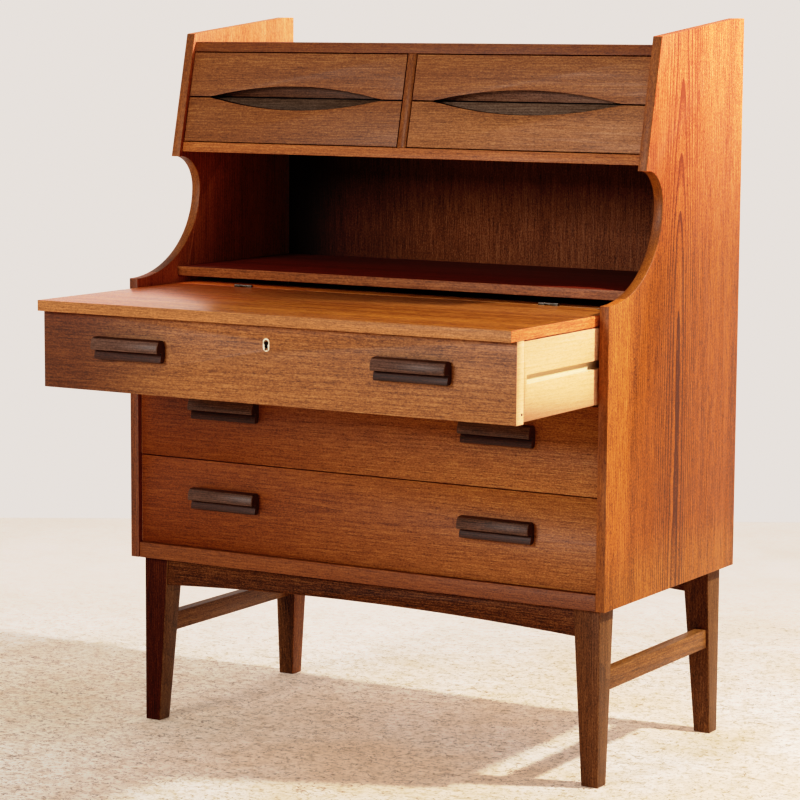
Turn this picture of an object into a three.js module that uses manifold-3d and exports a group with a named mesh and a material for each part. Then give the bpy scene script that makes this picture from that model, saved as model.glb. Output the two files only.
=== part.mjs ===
// Secretary desk: a teak case on a dark tapered base, with a pull-out writing drawer under a
// hinged lid, two wide drawers and four small drawers. Millimetres, +Z up, +X to the viewer's
// right. Inside this file y = 0 is the front edge of the side panels and +y runs to the back;
// the whole group is then moved so that its origin is the bottom centre of its bounding box.
import * as THREE from "three";
import Module from "manifold-3d";

const wasm = await Module();
wasm.setup();

// ---- Driving dimensions ----------------------------------------------------------------
const GAP = 0.3; // between pieces that touch

const CASE_WIDTH = 890;
const CASE_DEPTH = 477;
const CASE_BOTTOM = 281.5; // underside of the side panels
const BOARD = 16; // side, top, divider and shelf boards
const POST_TOP = 751; // where the concave front curve starts
const CURVE_DEPTH = 182;
const CURVE_MID_Z = 895.5; // height of the deepest point of the curve
const CURVE_TOP_RADIUS = 54;
const SIDE_TOP_FRONT = { y: 169.2, z: 1155.2 };
const SIDE_TOP_BACK = { y: 450, z: 1185 };
const UPPER_FRONT = { y: 122, z: 949.5 }; // lower front corner of the slanted edge
const SLANT = (SIDE_TOP_FRONT.y - UPPER_FRONT.y) / (SIDE_TOP_FRONT.z - UPPER_FRONT.z);

const BACK_PANEL = { y: 462, thickness: 8, top: 1141 };
const BOTTOM_PANEL = { thickness: 25.5, setback: 1.5 };
const SHELF = { y: 115, z: 749, thickness: 15.7 };

const UPPER_RECESS = 6.2; // slanted faces behind the side panels' edges, measured along y
const UPPER_FLOOR = 958; // underside of the small drawers' floor panel
const TOP_PANEL_TOP = 1141.6;
const MID_SHELF = { thickness: 4, setback: 31, lap: 320 };

const SMALL = { gap: 1.6, front: 12, fingerGap: 8, wall: 8, floor: 4, back: 450, sideClear: 3 };
const EYE = { centre: 217, halfLength: 169, rise: 19.5, segments: 20 };

const LEG = { inset: 16.5, insetY: 17.5, top: 46, foot: 28 };
const APRON = { depth: 20, end: 235, rise: 12, setback: 2 };
const STRETCHER = { bottom: 147, top: 178, width: 20, inset: 4.5 };

const PULL_OUT = 262; // how far the writing drawer is drawn out in the resting pose
const WIDE_FACE_Y = 7; // front faces of the wide drawers
const DRAWER_HALF = 425.7; // half width of the writing drawer and its lid
const SIDE_T = 13;
const GROOVE = { depth: 9.5, height: 13.5, fromFront: 31 };
const RUNNER = { width: 11.7, height: 12.3, front: 41, back: 455 };

const DESK = { bottom: 597.5, top: 719.2, front: 22, back: 195, runnerZ: 661.8, sideTop: 717.6 };
const LID = { overhang: 17, rear: 103, bottom: 719.5, thickness: 17 };
const STRIP_FRONT = 106;
const HINGE = { x: 287, length: 34, radius: 2.2, leaf: 1.2, drop: 14, y: 104.5, z: 738.3 };
const MORTISE = { depth: 1.1, end: 0.5 }; // shallow recess in the lid's rear edge at each hinge
const ESCUTCHEON = { x: -4.5, z: 689, width: 11.6, height: 20, thickness: 1.6, inlay: 1.2 };

const LOWER = { bottom: 308.2, top: 455, runnerZ: 372 };
const MIDDLE = { bottom: 457, top: 595.6, runnerZ: 521 };
const WIDE_FRONT_T = 20;
const WIDE_BACK_Y = 447;

const HANDLE = { x: 255, width: 127, height: 34.5, deskZ: 649.5, middleZ: 525.5, lowerZ: 375 };
const HANDLE_REACH = 22.5;

const HALF = CASE_WIDTH / 2;
const INSIDE = HALF - BOARD;
const FIT = INSIDE - GAP; // half length of the boards between the side panels
const BACK_FACE = BACK_PANEL.y - GAP;
const DESK_FACE_Y = WIDE_FACE_Y - PULL_OUT;

// ---- Materials -------------------------------------------------------------------------
const finish = (color, roughness, metalness = 0) =>
  new THREE.MeshStandardMaterial({ color, roughness, metalness });
const teak = finish("#9c5526", 0.45);
const teakDark = finish("#5c2a17", 0.5);
const stained = finish("#3d2015", 0.5);
const beech = finish("#e3c896", 0.6);
const ply = finish("#c9a878", 0.65);
const rosewood = finish("#4a2a1d", 0.4);
const steel = finish("#c9c4ba", 0.35, 0.9);
const ivory = finish("#e9dfc4", 0.4);

// ---- Geometry helpers ------------------------------------------------------------------
const desk = new THREE.Group();
desk.name = "secretary_desk";

function add(name, geometry, material) {
  const mesh = new THREE.Mesh(geometry, material);
  mesh.name = name;
  desk.add(mesh);
}

// A block between two corners.
function block([x0, x1], [y0, y1], [z0, z1]) {
  const box = new THREE.BoxGeometry(x1 - x0, y1 - y0, z1 - z0);
  return box.translate((x0 + x1) / 2, (y0 + y1) / 2, (z0 + z1) / 2);
}

function shapeOf(points) {
  return new THREE.Shape(points.map(([a, b]) => new THREE.Vector2(a, b)));
}

// A side-view outline in (y, z), extruded along x.
function sideways(outline, [x0, x1], curveSegments = 20) {
  const shape = outline instanceof THREE.Shape ? outline : shapeOf(outline);
  const solid = new THREE.ExtrudeGeometry(shape, {
    depth: x1 - x0,
    bevelEnabled: false,
    curveSegments,
  });
  const toYZ = new THREE.Matrix4().makeBasis(
    new THREE.Vector3(0, 1, 0),
    new THREE.Vector3(0, 0, 1),
    new THREE.Vector3(1, 0, 0),
  );
  return solid.applyMatrix4(toYZ.setPosition(x0, 0, 0));
}

// A front-view outline in (x, z), extruded from faceY back by depth; slant leans it backwards.
function frontal(outline, faceY, depth, slant = 0) {
  const shape = outline instanceof THREE.Shape ? outline : shapeOf(outline);
  const solid = new THREE.ExtrudeGeometry(shape, {
    depth,
    bevelEnabled: false,
    curveSegments: 16,
  });
  const toXZ = new THREE.Matrix4().makeBasis(
    new THREE.Vector3(1, 0, 0),
    new THREE.Vector3(0, slant, 1),
    new THREE.Vector3(0, -1, 0),
  );
  return solid.applyMatrix4(toXZ.setPosition(0, faceY + depth, 0));
}

// A plan-view outline in (x, y), extruded upwards from z0 to z1.
function upright(outline, [z0, z1]) {
  const solid = new THREE.ExtrudeGeometry(shapeOf(outline), {
    depth: z1 - z0,
    bevelEnabled: false,
  });
  return solid.translate(0, 0, z0);
}

function toManifold(geometry) {
  const plain = geometry.index ? geometry.toNonIndexed() : geometry;
  const mesh = new wasm.Mesh({
    numProp: 3,
    vertProperties: new Float32Array(plain.attributes.position.array),
    triVerts: Uint32Array.from({ length: plain.attributes.position.count }, (_, i) => i),
  });
  mesh.merge();
  return new wasm.Manifold(mesh);
}

function toGeometry(solid) {
  const mesh = solid.getMesh();
  const geometry = new THREE.BufferGeometry();
  geometry.setAttribute("position", new THREE.BufferAttribute(mesh.vertProperties, 3));
  geometry.setIndex(new THREE.BufferAttribute(mesh.triVerts, 1));
  return geometry;
}

function cut(geometry, ...tools) {
  let solid = toManifold(geometry);
  for (const tool of tools) {
    solid = solid.subtract(toManifold(tool));
  }
  return toGeometry(solid);
}

function join(...geometries) {
  let solid = toManifold(geometries[0]);
  for (const geometry of geometries.slice(1)) {
    solid = solid.add(toManifold(geometry));
  }
  return toGeometry(solid);
}

const both = [
  ["left", -1],
  ["right", 1],
];
const span = (side, a, b) => (side < 0 ? [-b, -a] : [a, b]);

// ---- Case ------------------------------------------------------------------------------
function sidePanelShape() {
  const shape = new THREE.Shape();
  shape.moveTo(0, CASE_BOTTOM);
  shape.lineTo(CASE_DEPTH, CASE_BOTTOM);
  shape.lineTo(CASE_DEPTH, SIDE_TOP_BACK.z);
  shape.lineTo(SIDE_TOP_BACK.y, SIDE_TOP_BACK.z);
  shape.lineTo(SIDE_TOP_FRONT.y, SIDE_TOP_FRONT.z);
  shape.lineTo(UPPER_FRONT.y, UPPER_FRONT.z);
  const arcY = CURVE_DEPTH - CURVE_TOP_RADIUS;
  shape.absarc(arcY, CURVE_MID_Z, CURVE_TOP_RADIUS, Math.PI / 2, 0, true);
  const fall = CURVE_MID_Z - POST_TOP;
  shape.absellipse(0, CURVE_MID_Z, CURVE_DEPTH, fall, 0, -Math.PI / 2, true, 0);
  return shape;
}

// y of the slanted faces of the upper part at height z.
const slantY = (z) => UPPER_FRONT.y + UPPER_RECESS + (z - UPPER_FRONT.z) * SLANT;

function slantedBoard(z0, z1) {
  return [
    [slantY(z0), z0],
    [BACK_FACE, z0],
    [BACK_FACE, z1],
    [slantY(z1), z1],
  ];
}

function addCase() {
  for (const [side, s] of both) {
    add(`side_panel_${side}`, sideways(sidePanelShape(), span(s, INSIDE, HALF)), teak);
  }
  const wide = [-FIT, FIT];
  const bottomTop = CASE_BOTTOM + BOTTOM_PANEL.thickness;
  const bottom = block(wide, [BOTTOM_PANEL.setback, BACK_FACE], [CASE_BOTTOM, bottomTop]);
  add("bottom_panel", bottom, teak);
  const backY = [BACK_PANEL.y, BACK_PANEL.y + BACK_PANEL.thickness];
  add("back_panel", block(wide, backY, [CASE_BOTTOM + 1.5, BACK_PANEL.top]), teakDark);
  const shelf = block(wide, [SHELF.y, BACK_FACE], [SHELF.z, SHELF.z + SHELF.thickness]);
  add("desk_shelf", shelf, teakDark);
  const floor = slantedBoard(UPPER_FLOOR, UPPER_FLOOR + BOARD);
  add("upper_floor_panel", sideways(floor, wide), teak);
  add("top_panel", sideways(slantedBoard(TOP_PANEL_TOP - BOARD, TOP_PANEL_TOP), wide), teak);
}

const BAY_BOTTOM = UPPER_FLOOR + BOARD;
const BAY_TOP = TOP_PANEL_TOP - BOARD;
const BAY_MID = (BAY_BOTTOM + BAY_TOP) / 2;

// The divider and the thin shelf between the small drawers are halved into each other.
function addDividers() {
  const z0 = BAY_BOTTOM + GAP;
  const z1 = BAY_TOP - GAP;
  const slot = MID_SHELF.thickness / 2 + GAP;
  const divider = [
    [slantY(z0), z0],
    [BACK_FACE, z0],
    [BACK_FACE, BAY_MID - slot],
    [MID_SHELF.lap, BAY_MID - slot],
    [MID_SHELF.lap, BAY_MID + slot],
    [BACK_FACE, BAY_MID + slot],
    [BACK_FACE, z1],
    [slantY(z1), z1],
  ];
  add("upper_divider", sideways(divider, [-BOARD / 2, BOARD / 2]), teak);
  const front = slantY(BAY_MID) + MID_SHELF.setback;
  const halfSlot = BOARD / 2 + GAP;
  const lap = MID_SHELF.lap + GAP;
  const shelf = [
    [-FIT, front],
    [-halfSlot, front],
    [-halfSlot, lap],
    [halfSlot, lap],
    [halfSlot, front],
    [FIT, front],
    [FIT, BACK_FACE],
    [-FIT, BACK_FACE],
  ];
  const half = MID_SHELF.thickness / 2;
  add("upper_middle_shelf", upright(shelf, [BAY_MID - half, BAY_MID + half]), ply);
}

function addRunners(drawer, z) {
  for (const [side, s] of both) {
    const x = span(s, FIT - RUNNER.width, FIT);
    const height = [z - RUNNER.height / 2, z + RUNNER.height / 2];
    add(`${drawer}_runner_${side}`, block(x, [RUNNER.front, RUNNER.back], height), stained);
  }
}

// ---- Base ------------------------------------------------------------------------------
const LEG_TOP = CASE_BOTTOM - GAP;
const legWidth = (z) => LEG.foot + ((LEG.top - LEG.foot) * z) / LEG_TOP;

// A leg whose two outer faces are upright and whose two inner faces taper.
function legGeometry(s, front) {
  const geometry = new THREE.BoxGeometry(1, 1, 1).translate(0.5, 0.5, 0.5);
  const position = geometry.attributes.position;
  for (let i = 0; i < position.count; i++) {
    const z = position.getZ(i) * LEG_TOP;
    const u = s < 0 ? position.getX(i) : 1 - position.getX(i);
    const v = front ? position.getY(i) : 1 - position.getY(i);
    const outerX = s * (HALF - LEG.inset);
    const outerY = front ? LEG.insetY : CASE_DEPTH - LEG.insetY;
    const x = outerX - s * u * legWidth(z);
    const y = outerY + (front ? 1 : -1) * v * legWidth(z);
    position.setXYZ(i, x, y, z);
  }
  return geometry;
}

function apronShape() {
  const outer = HALF - LEG.inset - GAP;
  const topX = outer - legWidth(LEG_TOP);
  const endX = outer - legWidth(APRON.end);
  const points = [
    [topX, LEG_TOP],
    [-topX, LEG_TOP],
  ];
  const steps = 16;
  for (let i = 0; i <= steps; i++) {
    const t = (2 * i) / steps - 1;
    points.push([t * endX, APRON.end + APRON.rise * (1 - t * t)]);
  }
  return points;
}

function addBase() {
  for (const [side, s] of both) {
    add(`leg_front_${side}`, legGeometry(s, true), stained);
    add(`leg_rear_${side}`, legGeometry(s, false), stained);
  }
  const frontY = LEG.insetY + APRON.setback;
  add("apron_front", frontal(apronShape(), frontY, APRON.depth), stained);
  const rearY = CASE_DEPTH - frontY - APRON.depth;
  add("apron_rear", frontal(apronShape(), rearY, APRON.depth), stained);
  const inner = (z) => LEG.insetY + legWidth(z) + GAP;
  const outline = [
    [inner(STRETCHER.bottom), STRETCHER.bottom],
    [CASE_DEPTH - inner(STRETCHER.bottom), STRETCHER.bottom],
    [CASE_DEPTH - inner(STRETCHER.top), STRETCHER.top],
    [inner(STRETCHER.top), STRETCHER.top],
  ];
  const outer = HALF - LEG.inset - STRETCHER.inset;
  for (const [side, s] of both) {
    const x = span(s, outer - STRETCHER.width, outer);
    add(`stretcher_${side}`, sideways(outline, x), stained);
  }
}

// ---- Handles ---------------------------------------------------------------------------
// Lip pull in section: [distance out from the drawer face, height above its lower edge].
const HANDLE_SECTION = [
  [0, 0],
  [12, 0],
  [13, 1],
  [12.6, 7],
  [11.2, 13],
  [9, 18],
  [9.4, 20],
  [21, 19.4],
  [HANDLE_REACH, 20.6],
  [18.4, 33.6],
  [17.2, HANDLE.height],
  [0, HANDLE.height],
];

function addHandles(drawer, faceY, z) {
  const outline = HANDLE_SECTION.map(([out, up]) => [faceY - GAP - out, z + up]).reverse();
  for (const [side, s] of both) {
    const centre = s * HANDLE.x;
    const x = [centre - HANDLE.width / 2, centre + HANDLE.width / 2];
    add(`${drawer}_handle_${side}`, sideways(outline, x), rosewood);
  }
}

// ---- Wide drawers ----------------------------------------------------------------------
// Sides with a groove for the case runner and a narrow one for the drawer bottom, plus the
// back and the bottom. spec: faceY, frontT, backY, z0, z1 (sides), runnerZ, backTop.
function addDrawerBox(drawer, spec) {
  const sideY = [spec.faceY + spec.frontT + GAP, spec.backY];
  const floorZ = [spec.z0 + 6, spec.z0 + 11];
  const inner = DRAWER_HALF - SIDE_T;
  const grooveY = [spec.faceY + GROOVE.fromFront, spec.backY + 1];
  const grooveZ = [spec.runnerZ - GROOVE.height / 2, spec.runnerZ + GROOVE.height / 2];
  for (const [side, s] of both) {
    const body = block(span(s, inner, DRAWER_HALF), sideY, [spec.z0, spec.z1]);
    const outerX = span(s, DRAWER_HALF - GROOVE.depth, DRAWER_HALF + 1);
    const runnerGroove = block(outerX, grooveY, grooveZ);
    const floorX = span(s, inner - 1, inner + 3.4);
    const floorGroove = block(
      floorX,
      [sideY[0] - 1, sideY[1] + 1],
      [floorZ[0] - GAP, floorZ[1] + GAP],
    );
    add(`${drawer}_drawer_side_${side}`, cut(body, runnerGroove, floorGroove), beech);
  }
  const half = inner + 3.1;
  add(`${drawer}_drawer_bottom`, block([-half, half], sideY, floorZ), ply);
  const backX = [-(inner - GAP), inner - GAP];
  const backZ = [floorZ[1] + GAP, spec.backTop];
  add(`${drawer}_drawer_back`, block(backX, [spec.backY - 12, spec.backY], backZ), beech);
}

function addWideDrawer(drawer, size, handleZ) {
  const faceY = [WIDE_FACE_Y, WIDE_FACE_Y + WIDE_FRONT_T];
  const half = DRAWER_HALF + 1;
  add(`${drawer}_drawer_front`, block([-half, half], faceY, [size.bottom, size.top]), teak);
  addDrawerBox(drawer, {
    faceY: WIDE_FACE_Y,
    frontT: WIDE_FRONT_T,
    backY: WIDE_BACK_Y,
    z0: size.bottom + 3,
    z1: size.top - 12,
    runnerZ: size.runnerZ,
    backTop: size.top - 16,
  });
  addHandles(drawer, WIDE_FACE_Y, handleZ);
}

// ---- Writing drawer --------------------------------------------------------------------
function ovalShape(width, height) {
  const r = width / 2;
  const rise = height / 2 - r;
  const shape = new THREE.Shape();
  shape.absarc(ESCUTCHEON.x, ESCUTCHEON.z + rise, r, 0, Math.PI, false);
  shape.absarc(ESCUTCHEON.x, ESCUTCHEON.z - rise, r, Math.PI, 2 * Math.PI, false);
  return shape;
}

// Round top with a narrow slot below it.
function keyholeShape(grow) {
  const { x, z } = ESCUTCHEON;
  const r = 2.3 + grow;
  const half = 1.1 + grow;
  const reach = Math.asin(half / r);
  const shape = new THREE.Shape();
  shape.moveTo(x - half, z - 5.5 - grow);
  shape.lineTo(x + half, z - 5.5 - grow);
  shape.absarc(x, z + 3, r, -Math.PI / 2 + reach, (3 * Math.PI) / 2 - reach, false);
  return shape;
}

function addDeskFront() {
  const faceY = [DESK_FACE_Y, DESK_FACE_Y + DESK.front];
  const body = block([-DRAWER_HALF, DRAWER_HALF], faceY, [DESK.bottom, DESK.top]);
  const pocketShape = ovalShape(ESCUTCHEON.width + 2 * GAP, ESCUTCHEON.height + 2 * GAP);
  const pocket = frontal(pocketShape, DESK_FACE_Y - 1, ESCUTCHEON.inlay + GAP + 1);
  const keyway = frontal(keyholeShape(0.2), DESK_FACE_Y - 1, DESK.front + 2);
  add("desk_drawer_front", cut(body, pocket, keyway), teak);
  const plate = frontal(
    ovalShape(ESCUTCHEON.width, ESCUTCHEON.height),
    DESK_FACE_Y + ESCUTCHEON.inlay - ESCUTCHEON.thickness,
    ESCUTCHEON.thickness,
  );
  const keyhole = frontal(keyholeShape(0), DESK_FACE_Y - 3, 8);
  add("desk_escutcheon", cut(plate, keyhole), ivory);
  const lockX = [ESCUTCHEON.x - 26, ESCUTCHEON.x + 26];
  const lockY = [faceY[1] + GAP, faceY[1] + 11];
  add("desk_lock_case", block(lockX, lockY, [DESK.top - 44, DESK.top - 3]), steel);
}

function addDeskDrawer() {
  addDeskFront();
  addDrawerBox("desk", {
    faceY: DESK_FACE_Y,
    frontT: DESK.front,
    backY: DESK.back,
    z0: DESK.bottom + 3.2,
    z1: DESK.sideTop,
    runnerZ: DESK.runnerZ,
    backTop: DESK.top,
  });
  const wide = [-DRAWER_HALF, DRAWER_HALF];
  const stripZ = [LID.bottom, LID.bottom + LID.thickness];
  add("desk_rear_strip", block(wide, [STRIP_FRONT, DESK.back], stripZ), teak);
  addHandles("desk", DESK_FACE_Y, HANDLE.deskZ);
}

// One hinge leaf: an upright plate in the seam with barrel knuckles above it.
function hingeLeaf(centre, plateY, knuckles) {
  const half = HINGE.length / 2;
  const plateTop = HINGE.z - HINGE.radius - 0.5;
  const plate = block(
    [centre - half, centre + half],
    plateY,
    [plateTop - HINGE.drop, plateTop],
  );
  const parts = [plate];
  for (const [a, b] of knuckles) {
    const x = [centre + a, centre + b];
    parts.push(block(x, plateY, [plateTop - 1, HINGE.z]));
    const barrel = new THREE.CylinderGeometry(HINGE.radius, HINGE.radius, b - a, 16);
    barrel.rotateZ(Math.PI / 2);
    parts.push(barrel.translate(centre + (a + b) / 2, HINGE.y, HINGE.z));
  }
  return join(...parts);
}

function addLid() {
  const front = DESK_FACE_Y - LID.overhang;
  const z = [LID.bottom, LID.bottom + LID.thickness];
  const end = HINGE.length / 2;
  const seat = LID.rear - MORTISE.depth;
  const mortises = both.map(([, s]) => {
    const reach = end + MORTISE.end;
    const x = [s * HINGE.x - reach, s * HINGE.x + reach];
    return block(x, [seat, LID.rear + 1], [z[0] - 1, z[1] + 1]);
  });
  const board = block([-DRAWER_HALF, DRAWER_HALF], [front, LID.rear], z);
  add("writing_lid", cut(board, ...mortises), teak);
  const lidLeafY = [seat + GAP, seat + GAP + HINGE.leaf];
  const stripLeafY = [STRIP_FRONT - 0.1 - HINGE.leaf, STRIP_FRONT - 0.1];
  for (const [side, s] of both) {
    const outer = [
      [-end, -6.2],
      [6.2, end],
    ];
    add(`lid_hinge_leaf_${side}`, hingeLeaf(s * HINGE.x, lidLeafY, outer), steel);
    add(`strip_hinge_leaf_${side}`, hingeLeaf(s * HINGE.x, stripLeafY, [[-5.9, 5.9]]), steel);
  }
}

// ---- Small drawers ---------------------------------------------------------------------
// Front outline with half of the eye-shaped finger opening in its upper or lower edge.
function smallFrontShape([x0, x1], [z0, z1], centre, level) {
  const arc = [];
  for (let i = 0; i <= EYE.segments; i++) {
    const t = (2 * i) / EYE.segments - 1;
    arc.push([centre + t * EYE.halfLength, EYE.rise * (1 - t * t)]);
  }
  const corners = (z) => [
    [x0, z],
    [x1, z],
  ];
  if (level === "upper") {
    const lower = arc.map(([x, rise]) => [x, Math.max(z0, BAY_MID + rise)]);
    return [[x0, z0], ...lower, [x1, z0], ...corners(z1).reverse()];
  }
  const upper = arc.map(([x, rise]) => [x, Math.min(z1, BAY_MID - rise)]).reverse();
  return [...corners(z0), [x1, z1], ...upper, [x0, z1]];
}

// Tray: its dark front wall stands behind the finger gap and closes it off from the inside.
function smallTray([x0, x1], [z0, z1], level) {
  const back = SMALL.front + GAP;
  const wallFront = SMALL.front + SMALL.fingerGap;
  const wallBack = wallFront + SMALL.wall;
  const bodyLow = level === "upper" ? BAY_MID + MID_SHELF.thickness / 2 + 0.6 : z0 - 0.6;
  const wallLow = level === "upper" ? z0 + 0.2 : bodyLow;
  const wallHigh = level === "upper" ? z1 - 6 : z1 - 0.2;
  const bodyHigh = z1 - 10;
  const lowStep = slantY(wallLow) + wallBack + 1;
  const highStep = slantY(wallHigh) + wallBack + 1;
  const outline = [
    [slantY(wallLow) + back, wallLow],
    [lowStep, wallLow],
    [lowStep, bodyLow],
    [SMALL.back, bodyLow],
    [SMALL.back, bodyHigh],
    [highStep, bodyHigh],
    [highStep, wallHigh],
    [slantY(wallHigh) + back, wallHigh],
  ].filter((p, i, all) => i === 0 || p[0] !== all[i - 1][0] || p[1] !== all[i - 1][1]);
  const floorTop = bodyLow + SMALL.floor;
  const cavity = [
    [slantY(floorTop) + wallBack, floorTop],
    [SMALL.back - SMALL.wall, floorTop],
    [SMALL.back - SMALL.wall, wallHigh + 2],
    [slantY(wallHigh + 2) + wallBack, wallHigh + 2],
  ];
  const fingers = [
    [slantY(wallLow - 2) + back - 2, wallLow - 2],
    [slantY(wallLow - 2) + wallFront, wallLow - 2],
    [slantY(wallHigh + 2) + wallFront, wallHigh + 2],
    [slantY(wallHigh + 2) + back - 2, wallHigh + 2],
  ];
  const innerX = [x0 + SMALL.wall, x1 - SMALL.wall];
  return cut(sideways(outline, [x0, x1]), sideways(cavity, innerX), sideways(fingers, innerX));
}

function addSmallDrawers() {
  const g = SMALL.gap;
  const levels = {
    lower: [BAY_BOTTOM + g, BAY_MID - 1],
    upper: [BAY_MID + 1, BAY_TOP - g],
  };
  for (const [side, s] of both) {
    const x = span(s, BOARD / 2 + g, INSIDE - g);
    const trayX = [x[0] + SMALL.sideClear, x[1] - SMALL.sideClear];
    for (const [level, z] of Object.entries(levels)) {
      const outline = smallFrontShape(x, z, s * EYE.centre, level);
      const name = `small_drawer_${level}_${side}`;
      add(`${name}_front`, frontal(outline, slantY(0), SMALL.front, SLANT), teak);
      add(`${name}_tray`, smallTray(trayX, z, level), stained);
    }
  }
}

// ---- Assembly --------------------------------------------------------------------------
addCase();
addDividers();
addRunners("desk", DESK.runnerZ);
addRunners("middle", MIDDLE.runnerZ);
addRunners("lower", LOWER.runnerZ);
addBase();
addDeskDrawer();
addLid();
addWideDrawer("middle", MIDDLE, HANDLE.middleZ);
addWideDrawer("lower", LOWER, HANDLE.lowerZ);
addSmallDrawers();

const frontMost = DESK_FACE_Y - GAP - HANDLE_REACH;
desk.position.y = -(CASE_DEPTH + frontMost) / 2;

export default desk;
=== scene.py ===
import math

import bmesh
import bpy
from mathutils import Matrix, Vector


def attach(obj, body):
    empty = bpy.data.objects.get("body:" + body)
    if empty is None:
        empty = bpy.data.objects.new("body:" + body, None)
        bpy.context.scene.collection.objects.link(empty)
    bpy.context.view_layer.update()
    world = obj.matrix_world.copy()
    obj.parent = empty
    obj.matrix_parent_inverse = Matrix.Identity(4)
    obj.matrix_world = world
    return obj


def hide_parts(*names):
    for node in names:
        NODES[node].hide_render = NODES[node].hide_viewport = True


# Teak secretary desk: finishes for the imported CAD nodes, pieces drawn over them, stage and lights.
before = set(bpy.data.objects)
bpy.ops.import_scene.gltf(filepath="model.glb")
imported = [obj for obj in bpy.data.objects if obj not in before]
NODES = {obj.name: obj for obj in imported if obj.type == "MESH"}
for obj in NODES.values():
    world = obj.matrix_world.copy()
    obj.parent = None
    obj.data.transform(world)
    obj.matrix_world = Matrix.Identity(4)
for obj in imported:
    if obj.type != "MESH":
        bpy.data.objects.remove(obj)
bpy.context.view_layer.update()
MM = 0.001
SIDES = ("left", "right")
WIDE_DRAWERS = ("desk", "middle", "lower")
FRONT_EDGE_Y = -99.6 * MM  # the side panels' front edges in the frame's own coordinates

# ---------------------------------------------------------------- camera
YAW, PITCH, ROLL = math.radians(30.706), math.radians(-7.315), math.radians(0.335)
CAMERA_AT = Vector((2.33715, -3.90047, 1.15118))
LENS, SENSOR = 127.12, 36.0
CLIP_NEAR, CLIP_FAR = 0.05, 60


def add_camera():
    level = math.cos(PITCH)
    forward = Vector((-math.sin(YAW) * level, math.cos(YAW) * level, math.sin(PITCH)))
    flat_right = Vector((math.cos(YAW), math.sin(YAW), 0))
    flat_up = flat_right.cross(forward)
    right = flat_right * math.cos(ROLL) + flat_up * math.sin(ROLL)
    up = -flat_right * math.sin(ROLL) + flat_up * math.cos(ROLL)
    data = bpy.data.cameras.new("camera")
    data.lens = LENS
    data.sensor_width = SENSOR
    data.clip_start, data.clip_end = CLIP_NEAR, CLIP_FAR
    camera = bpy.data.objects.new("camera", data)
    turn = Matrix((right, up, -forward)).transposed().to_4x4()
    camera.matrix_world = Matrix.Translation(CAMERA_AT) @ turn
    bpy.context.scene.collection.objects.link(camera)
    bpy.context.scene.camera = camera


# ---------------------------------------------------------------- shader helpers
class Graph:
    """Short names for building a node tree."""

    def __init__(self, tree):
        self.tree = tree
        self.nodes = tree.nodes
        self.links = tree.links

    def add(self, kind, **settings):
        node = self.nodes.new(kind)
        for key, value in settings.items():
            setattr(node, key, value)
        return node

    def put(self, socket, value):
        if hasattr(value, "is_output"):
            self.links.new(value, socket)
        else:
            socket.default_value = value

    def math(self, operation, a, b=None, clamp=False):
        node = self.add("ShaderNodeMath", operation=operation, use_clamp=clamp)
        for socket, value in zip(node.inputs, (a, b)):
            if value is not None:
                self.put(socket, value)
        return node.outputs[0]

    def remap(self, value, low, high, to_low=0.0, to_high=1.0):
        node = self.add("ShaderNodeMapRange", clamp=True, interpolation_type="SMOOTHSTEP")
        self.put(node.inputs["Value"], value)
        node.inputs["From Min"].default_value = low
        node.inputs["From Max"].default_value = high
        node.inputs["To Min"].default_value = to_low
        node.inputs["To Max"].default_value = to_high
        return node.outputs["Result"]

    def mix(self, factor, a, b, blend="MIX"):
        node = self.add("ShaderNodeMix", data_type="RGBA", blend_type=blend)
        self.put(node.inputs["Factor"], factor)
        self.put(node.inputs["A"], a)
        self.put(node.inputs["B"], b)
        return node.outputs["Result"]

    def ramp(self, factor, stops):
        node = self.add("ShaderNodeValToRGB")
        elements = node.color_ramp.elements
        while len(elements) < len(stops):
            elements.new(0.5)
        for element, (place, colour) in zip(elements, stops):
            element.position = place
            element.color = colour
        self.put(node.inputs["Fac"], factor)
        return node.outputs["Color"]

    def noise(self, vector, scale, detail, roughness=0.5):
        node = self.add("ShaderNodeTexNoise", noise_dimensions="3D")
        self.put(node.inputs["Vector"], vector)
        node.inputs["Scale"].default_value = scale
        node.inputs["Detail"].default_value = detail
        node.inputs["Roughness"].default_value = roughness
        return node.outputs["Fac"]

    def vector_math(self, operation, a, b=None):
        node = self.add("ShaderNodeVectorMath", operation=operation)
        self.put(node.inputs[0], a)
        if b is not None:
            self.put(node.inputs[1], b)
        return node.outputs["Value" if operation in ("LENGTH", "DISTANCE") else "Vector"]

    def part(self, vector, axis):
        """One coordinate of a vector: X, Y or Z."""
        node = self.add("ShaderNodeSeparateXYZ")
        self.put(node.inputs[0], vector)
        return node.outputs[axis]

    def swing(self, value, weight):
        """A noise about 0.5, as a signed amount."""
        return self.math("MULTIPLY", self.math("SUBTRACT", value, 0.5), weight)

    def coordinates(self):
        return self.add("ShaderNodeTexCoord").outputs["Object"]

    def mapping(self, vector, location=(0, 0, 0), rotation=(0, 0, 0), scale=(1, 1, 1)):
        node = self.add("ShaderNodeMapping")
        self.put(node.inputs["Vector"], vector)
        node.inputs["Location"].default_value = location
        node.inputs["Rotation"].default_value = rotation
        node.inputs["Scale"].default_value = scale
        return node.outputs["Vector"]


def srgb(text):
    """Linear colour of a hex sRGB code."""
    channels = [int(text[i : i + 2], 16) / 255 for i in (1, 3, 5)]
    linear = [c / 12.92 if c <= 0.04045 else ((c + 0.055) / 1.055) ** 2.4 for c in channels]
    return (*linear, 1.0)


def new_material(name):
    material = bpy.data.materials.new(name)
    material.use_nodes = True
    material.node_tree.nodes.clear()
    graph = Graph(material.node_tree)
    shader = graph.add("ShaderNodeBsdfPrincipled")
    output = graph.add("ShaderNodeOutputMaterial")
    graph.links.new(shader.outputs[0], output.inputs["Surface"])
    return material, graph, shader


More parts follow.
